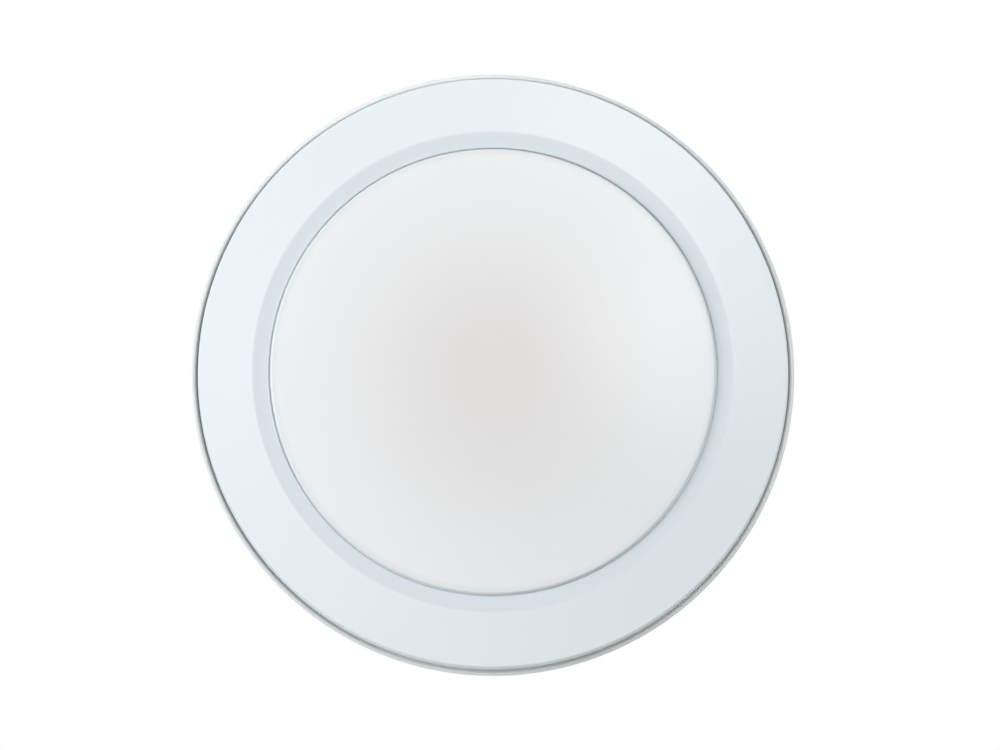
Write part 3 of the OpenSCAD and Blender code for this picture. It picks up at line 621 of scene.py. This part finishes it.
def makeScrewTree():
    graph, source = newTree("screws", screwInputs)
    blank = addTurned(graph, source)
    # The cross is two bars centred on the head's top, so the lower half of each cuts.
    size = graph.add("ShaderNodeCombineXYZ", {}, {
        "X": source.side("Recess Length"), "Y": source.side("Recess Width"),
        "Z": source.side("Recess Depth") * 2})
    bar = graph.add("GeometryNodeMeshCube", {}, {"Size": size})
    lift = graph.add("ShaderNodeCombineXYZ", {}, {"Z": source.side("Recess Top")})
    bars = [graph.add("GeometryNodeTransform", {}, {
        "Geometry": bar, "Translation": lift, "Rotation": (0.0, 0.0, turn)}) for turn in (0.0, math.pi / 2)]
    cut = graph.add("GeometryNodeMeshBoolean", {"operation": "DIFFERENCE", "solver": "EXACT"}, {
        "Mesh 1": blank, "Mesh 2": bars})
    recessed = source.side("Recess Depth").over(0.0)
    head = graph.add("GeometryNodeSwitch", {"input_type": "GEOMETRY"}, {
        "Switch": recessed, "False": blank, "True": cut})
    index = graph.add("GeometryNodeInputIndex")
    angle = index * (2 * math.pi) / source.side("Count") + source.side("First Angle")
    arm = graph.add("ShaderNodeCombineXYZ", {}, {
        "X": angle.cosine() * source.side("Circle Radius"), "Y": angle.sine() * source.side("Circle Radius")})
    spot = graph.add("ShaderNodeVectorMath", {"operation": "ADD"}, {0: arm, 1: source.side("Centre")})
    spots = graph.add("GeometryNodePoints", {}, {"Count": source.side("Count"), "Position": spot})
    spin = graph.add("FunctionNodeRandomValue", {"data_type": "FLOAT"}, {
        "Min": 0.0, "Max": math.pi / 2, "ID": index, "Seed": source.side("Seed")}, out=1)  # its float output
    facing = graph.add("ShaderNodeCombineXYZ", {}, {"Z": angle + spin})
    placed = graph.add("GeometryNodeInstanceOnPoints", {}, {
        "Points": spots, "Instance": head, "Rotation": facing})
    return endTree(graph, source, placed)


# Outlines run clockwise as (radius, height, corner radius) in millimetres, with radius to the right and
# height up. A point without a corner radius stays sharp. A loop is a pair: its points, and if it closes.
def outlineMesh(name, loops, coreRadius):
    points, edges, corners = [], [], []
    for loop, closed in loops:
        first = len(points)
        for radius, height, *corner in loop:
            points.append((radius * mm - coreRadius, -height * mm, 0.0))
            corners.append(corner[0] * mm if corner else 0.0)
        edges += [(first + i, first + i + 1) for i in range(len(loop) - 1)]
        if closed:
            edges.append((len(points) - 1, first))
    mesh = bpy.data.meshes.new(name)
    mesh.from_pydata(points, edges, [])
    ease = mesh.attributes.new("corner", "FLOAT", "POINT")
    ease.data.foreach_set("value", corners)
    return mesh


def addWeightedNormals(piece):
    weigh = piece.modifiers.new("weigh", "WEIGHTED_NORMAL")
    weigh.keep_sharp = True


# Modifiers are applied by taking the evaluated mesh, so that a finished piece is plain.
def settle(piece):
    view = bpy.context.evaluated_depsgraph_get()
    evaluated = piece.evaluated_get(view)
    mesh = bpy.data.meshes.new_from_object(evaluated, preserve_all_data_layers=True, depsgraph=view)
    mesh.name = piece.name
    piece.modifiers.clear()
    piece.data = mesh
    return piece


def fit(piece, body, nodes):
    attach(piece, body)
    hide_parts(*nodes)


creaseAngle = math.radians(40)


def grow(name, tree, loops, values, body, slotName, *nodes):
    piece = newObject(name, outlineMesh(name, loops, values["Core Radius"]))
    modifier = piece.modifiers.new(tree.name, "NODES")
    modifier.node_group = tree
    given = {"Crease Angle": creaseAngle, "Finish": finishes[slotName], **values}
    for socket in tree.interface.items_tree:
        if socket.in_out == "INPUT" and socket.name in given:
            modifier[socket.identifier] = given[socket.name]
    addWeightedNormals(piece)
    fit(settle(piece), body, nodes)
    return piece


# What the trees need of a piece: how it is turned, and how its copies stand on their circle.
def turning(coreRadius, sizes):
    return {"Core Radius": coreRadius * mm, "Segments": sizes["segments"],
            "Corner Steps": sizes["cornerSteps"]}


def circling(sizes):
    x, y = sizes["centre"]
    return {"Count": sizes["count"], "Circle Radius": sizes["circle"] * mm,
            "First Angle": math.radians(sizes["first"]), "Centre": (x * mm, y * mm, sizes["seat"] * mm),
            "Seed": sizes["seed"]}


# The trim's shell, with a ring inside that centres the lens.
trim = {
    "outer": 93.4, "foot": -3.0, "edge": 92.75, "edgeDepth": -13.2, "ridge": 75.7, "band": -17.3,
    "opening": 70.45, "wall": 1.8,
    "edgeRound": 0.4, "ridgeRound": 3.2, "lipRound": 0.6, "backRound": 0.3, "footRound": 0.25,
    "ringInner": 74.5, "ringOuter": 75.7, "ringTop": -13.0, "ringRound": 0.2,
    "core": 80.0, "segments": 288, "cornerSteps": 9,
}


def makeTrim(turned):
    wall = trim["wall"]
    slope = math.atan2(trim["edgeDepth"] - trim["band"], trim["edge"] - trim["ridge"])
    backEdge = trim["edgeDepth"] + wall * (1 / math.cos(slope) - math.tan(slope))
    backBand = trim["band"] + wall
    backRidge = trim["ridge"] - wall * math.tan(slope / 2)
    shell = [
        (trim["opening"], trim["band"], trim["lipRound"]), (trim["opening"], backBand, trim["backRound"]),
        (backRidge, backBand, trim["ridgeRound"]), (trim["edge"] - wall, backEdge, trim["edgeRound"]),
        (trim["outer"] - wall, trim["foot"], trim["footRound"]),
        (trim["outer"], trim["foot"], trim["footRound"]),
        (trim["edge"], trim["edgeDepth"], trim["edgeRound"]),
        (trim["ridge"], trim["band"], trim["ridgeRound"])]
    root = backBand - wall / 4
    ring = [
        (trim["ringInner"], root), (trim["ringInner"], trim["ringTop"], trim["ringRound"]),
        (trim["ringOuter"], trim["ringTop"], trim["ringRound"]), (trim["ringOuter"], root)]
    grow("trim_shell", turned, [(shell, True), (ring, True)], turning(trim["core"], trim),
         "light", "white_paint", "trim_ring")


# Four hollow posts inside the shell that take the trim screws.
posts = {"radius": 3.1, "bore": 1.55, "top": -5.4, "foot": -14.0, "boreRound": 0.2, "topRound": 0.5,
         "circle": 85.15, "first": 45.0, "count": 4, "centre": (0.0, 0.0), "seat": 0.0, "seed": 0,
         "segments": 40, "cornerSteps": 5}


def makePosts(screws):
    post = [(posts["bore"], posts["foot"]), (posts["bore"], posts["top"], posts["boreRound"]),
            (posts["radius"], posts["top"], posts["topRound"]), (posts["radius"], posts["foot"])]
    grow("trim_posts", screws, [(post, True)], {**turning(posts["bore"], posts), **circling(posts)},
         "light", "white_paint")


lens = {
    "radius": 70.1, "flange": 74.3, "back": -13.0, "shoulder": -14.5, "side": -18.8, "apex": -25.4,
    "wall": 2.0, "roll": 0.9, "flangeRound": 0.2, "innerRound": 0.8, "domeSteps": 26,
    "core": 40.0, "segments": 256, "cornerSteps": 8,
}


# Points along a round dome, from its apex on the axis to its rim.
def domePoints(radius, side, apex):
    height = side - apex
    sphere = (radius ** 2 + height ** 2) / (2 * height)
    reach = math.asin(radius / sphere)
    angles = [reach * i / lens["domeSteps"] for i in range(lens["domeSteps"] + 1)]
    return [(sphere * math.sin(angle), apex + sphere - sphere * math.cos(angle)) for angle in angles]


# The dome's last points make way for the rounded corners at its rim.
def makeLens(turned):
    inner, innerSide = lens["radius"] - lens["wall"], lens["side"] + lens["wall"]
    inside = domePoints(inner, innerSide, lens["apex"] + lens["wall"])[:-1]
    outside = domePoints(lens["radius"], lens["side"], lens["apex"])[:-2]
    rim = [
        (inner, innerSide, lens["innerRound"]), (inner, lens["back"], lens["flangeRound"]),
        (lens["flange"], lens["back"], lens["flangeRound"]),
        (lens["flange"], lens["shoulder"], lens["flangeRound"]),
        (lens["radius"], lens["shoulder"]), (lens["radius"], lens["side"], lens["roll"])]
    grow("lens_shell", turned, [(inside + rim + outside[::-1], False)], turning(lens["core"], lens),
         "light", "opal_plastic", "lens")


# The seal squeezes down into the gap round the lens as a bead, which sags most towards +y.
lensSeal = {
    "inner": 70.12, "outer": 74.3, "back": -14.5, "face": -15.5, "round": 0.1, "innerRound": 0.2,
    "beadInner": 69.92, "beadOuter": 70.43, "bead": -16.25, "beadRound": 0.12, "beadReach": 0.3, "sag": 0.85,
    "core": 70.0, "segments": 256, "cornerSteps": 3,
}


def makeLensSeal(turned):
    seal = lensSeal
    outline = [
        (seal["inner"], seal["back"], seal["round"]), (seal["outer"], seal["back"], seal["round"]),
        (seal["outer"], seal["face"], seal["round"]), (seal["beadOuter"], seal["face"], seal["round"]),
        (seal["beadOuter"], seal["bead"], seal["beadRound"]),
        (seal["beadInner"], seal["bead"], seal["beadRound"]),
        (seal["inner"], seal["face"], seal["innerRound"])]
    piece = grow("lens_seal_bead", turned, [(outline, True)], turning(seal["core"], seal),
                 "light", "pale_silicone", "lens_seal")
    for corner in piece.data.vertices:
        if corner.co.z < (seal["bead"] + seal["beadReach"]) * mm:
            towardLow = corner.co.y / corner.co.xy.length
            corner.co.z -= seal["sag"] * mm * (1 + towardLow) / 2


# Ribbed against the soffit. Its lip stands out past the trim, with a gutter between lip and trim.
gasket = {
    "inner": 88.45, "outer": 95.25, "foot": -3.0, "innerRound": 0.25, "outerRound": 0.6,
    "grooves": (90.05, 92.65), "grooveWidth": 1.0, "grooveDepth": 0.7, "grooveLip": 0.2, "grooveRound": 0.25,
    "lip": 94.5, "lipRound": 0.6, "lipHeight": 0.6, "lipShoulder": 0.4,
    "gutterInner": 92.6, "gutterOuter": 93.5, "gutterTop": -1.9, "gutterRound": 0.3, "gutterCorner": 0.2,
    "gutterEdge": 0.05, "core": 90.0, "segments": 288, "cornerSteps": 5,
}


def makeGasket(turned):
    top = [(gasket["inner"], 0.0, gasket["innerRound"])]
    for start in gasket["grooves"]:
        end = start + gasket["grooveWidth"]
        floorLevel = -gasket["grooveDepth"]
        top += [(start, 0.0, gasket["grooveLip"]), (start, floorLevel, gasket["grooveRound"]),
                (end, floorLevel, gasket["grooveRound"]), (end, 0.0, gasket["grooveLip"])]
    outside = [(gasket["outer"], 0.0, gasket["outerRound"]),
               (gasket["outer"], gasket["foot"] + gasket["lipHeight"], gasket["lipShoulder"]),
               (gasket["lip"], gasket["foot"], gasket["lipRound"])]
    gutter = [(gasket["gutterOuter"], gasket["gutterTop"], gasket["gutterRound"]),
              (gasket["gutterInner"], gasket["gutterTop"], gasket["gutterCorner"]),
              (gasket["gutterInner"], gasket["foot"], gasket["gutterEdge"])]
    outline = [(gasket["inner"], gasket["foot"], gasket["innerRound"])] + top + outside + gutter
    grow("gasket_ring", turned, [(outline, True)], turning(gasket["core"], gasket),
         "light", "pale_silicone", "soffit_gasket")


trimScrew = {"head": 2.8, "height": 2.0, "shank": 1.5, "length": 8.0, "circle": posts["circle"],
             "first": posts["first"], "count": posts["count"], "centre": (0.0, 0.0), "seat": -3.0, "seed": 11}
selectorScrew = {"head": 1.8, "height": 1.0, "shank": 0.9, "length": 3.6, "circle": 9.9, "first": 0.0,
                 "count": 2, "centre": (0.0, -10.0), "seat": 22.0, "seed": 5}
# The point's sizes are shares of the shank's radius, crown and recess depth of the head's height,
# and the recess's length and width of the head's radius.
screwShape = {"pointRadius": 0.6, "pointLength": 0.5, "crown": 0.6, "recessDepth": 0.62, "recessLength": 1.15,
              "recessWidth": 0.26, "rimRound": 0.12, "segments": 40, "cornerSteps": 6}


def setScrews(name, tree, screw, slotName, node):
    head, height, shank, tip = screw["head"], screw["height"], screw["shank"], -screw["length"]
    outline = [
        (0.0, height), (head, height, height * screwShape["crown"]), (head, 0.0, screwShape["rimRound"]),
        (shank, 0.0), (shank, tip + shank * screwShape["pointLength"]),
        (shank * screwShape["pointRadius"], tip), (0.0, tip)]
    recess = {"Recess Top": height * mm, "Recess Depth": height * screwShape["recessDepth"] * mm,
              "Recess Length": head * screwShape["recessLength"] * mm,
              "Recess Width": head * screwShape["recessWidth"] * mm}
    grow(name, tree, [(outline, False)], {**turning(head / 2, screwShape), **circling(screw), **recess},
         "light", slotName, node)


# The studs that lock into the plate's keyholes: head, neck, and a tail riveted through the pan.
stud = {"head": 4.2, "height": 1.8, "neck": 2.2, "rivet": 1.7, "shoulder": -1.7, "tail": -4.9,
        "rimRound": 0.15, "neckRound": 0.1, "tailRound": 0.2, "circle": 42.0, "first": 100.0, "count": 3,
        "centre": (0.0, 0.0), "seat": 0.3, "seed": 3, "segments": 56, "cornerSteps": 6}


def makeStuds(tree):
    shoulder, tail = stud["shoulder"] - stud["seat"], stud["tail"] - stud["seat"]
    outline = [
        (0.0, stud["height"]), (stud["head"], stud["height"], stud["height"] / 2),
        (stud["head"], 0.0, stud["rimRound"]), (stud["neck"], 0.0),
        (stud["neck"], shoulder, stud["neckRound"]),
        (stud["rivet"], shoulder), (stud["rivet"], tail, stud["tailRound"]), (0.0, tail)]
    grow("lock_studs", tree, [(outline, False)], {**turning(stud["head"] / 2, stud), **circling(stud)},
         "light", "bright_steel", "shoulder_studs")


# How rigid nodes are finished: flat and sharp are angles in degrees. Faces that bend less than
# flat are joined, and edges that bend more than sharp are eased.
easing = {"merge": 0.001 * mm, "flat": 0.4, "sharp": 32.0, "steps": 2}


def refine(node, body, slotName, ease):
    merged = bmesh.new()
    merged.from_mesh(frame["nodes"][node].data)
    bmesh.ops.remove_doubles(merged, verts=merged.verts, dist=easing["merge"])
    bmesh.ops.dissolve_limit(merged, angle_limit=math.radians(easing["flat"]), use_dissolve_boundaries=False,
                             verts=merged.verts, edges=merged.edges)
    name = node + "_finished"
    mesh = bpy.data.meshes.new(name)
    merged.to_mesh(mesh)
    merged.free()
    sharp = math.radians(easing["sharp"])
    mesh.polygons.foreach_set("use_smooth", [True] * len(mesh.polygons))
    mesh.set_sharp_from_angle(angle=sharp)
    mesh.materials.append(finishes[slotName])
    piece = newObject(name, mesh)
    bevel = piece.modifiers.new("ease", "BEVEL")
    bevel.width = ease
    bevel.segments = easing["steps"]
    bevel.limit_method = "ANGLE"
    bevel.angle_limit = sharp
    bevel.use_clamp_overlap = True
    bevel.harden_normals = True
    addWeightedNormals(piece)
    fit(settle(piece), body, [node])


# Each rigid node's body, slot and width of easing.
eased = {
    "base_pan": ("light", "cast_aluminium", 0.3 * mm),
    "mounting_plate": ("plate", "zinc_steel", 0.18 * mm),
    "ground_screw": ("plate", "green_steel", 0.15 * mm),
    "driver_housing": ("light", "white_plastic", 0.25 * mm),
    "wire_grommet": ("light", "black_rubber", 0.2 * mm),
    "selector_body": ("light", "zinc_steel", 0.12 * mm),
    "selector_knob": ("knob", "black_plastic", 0.12 * mm),
    "housing_screws": ("light", "bright_steel", 0.06 * mm),
    "board_screws": ("light", "bright_steel", 0.06 * mm),
    "board_connector": ("light", "ivory_plastic", 0.1 * mm),
    "insulating_tray": ("light", "ivory_plastic", 0.12 * mm),
    "transformer_core": ("light", "ferrite", 0.18 * mm),
    "film_capacitor": ("light", "yellow_plastic", 0.35 * mm),
    "rectifier": ("light", "black_plastic", 0.12 * mm),
    "control_chip": ("light", "black_plastic", 0.08 * mm),
}

setCamera()
makeFinishes()
setLamps()
setSurround()
setFloor()
print("Camera, lamps, surround and floor set")

paintNodes()
print("Finishes on every node:", len(finishes))

turnedTree = makeTurnedTree()
screwTree = makeScrewTree()
makeTrim(turnedTree)
makePosts(screwTree)
makeLens(turnedTree)
makeLensSeal(turnedTree)
makeGasket(turnedTree)
print("Trim, lens and gasket turned")

setScrews("trim_screw_set", screwTree, trimScrew, "bright_steel", "trim_screws")
setScrews("selector_screw_set", screwTree, selectorScrew, "bright_steel", "selector_screws")
makeStuds(screwTree)
print("Screws and studs set")

for node, (body, slotName, ease) in eased.items():
    refine(node, body, slotName, ease)
print("Rigid pieces eased:", len(eased))
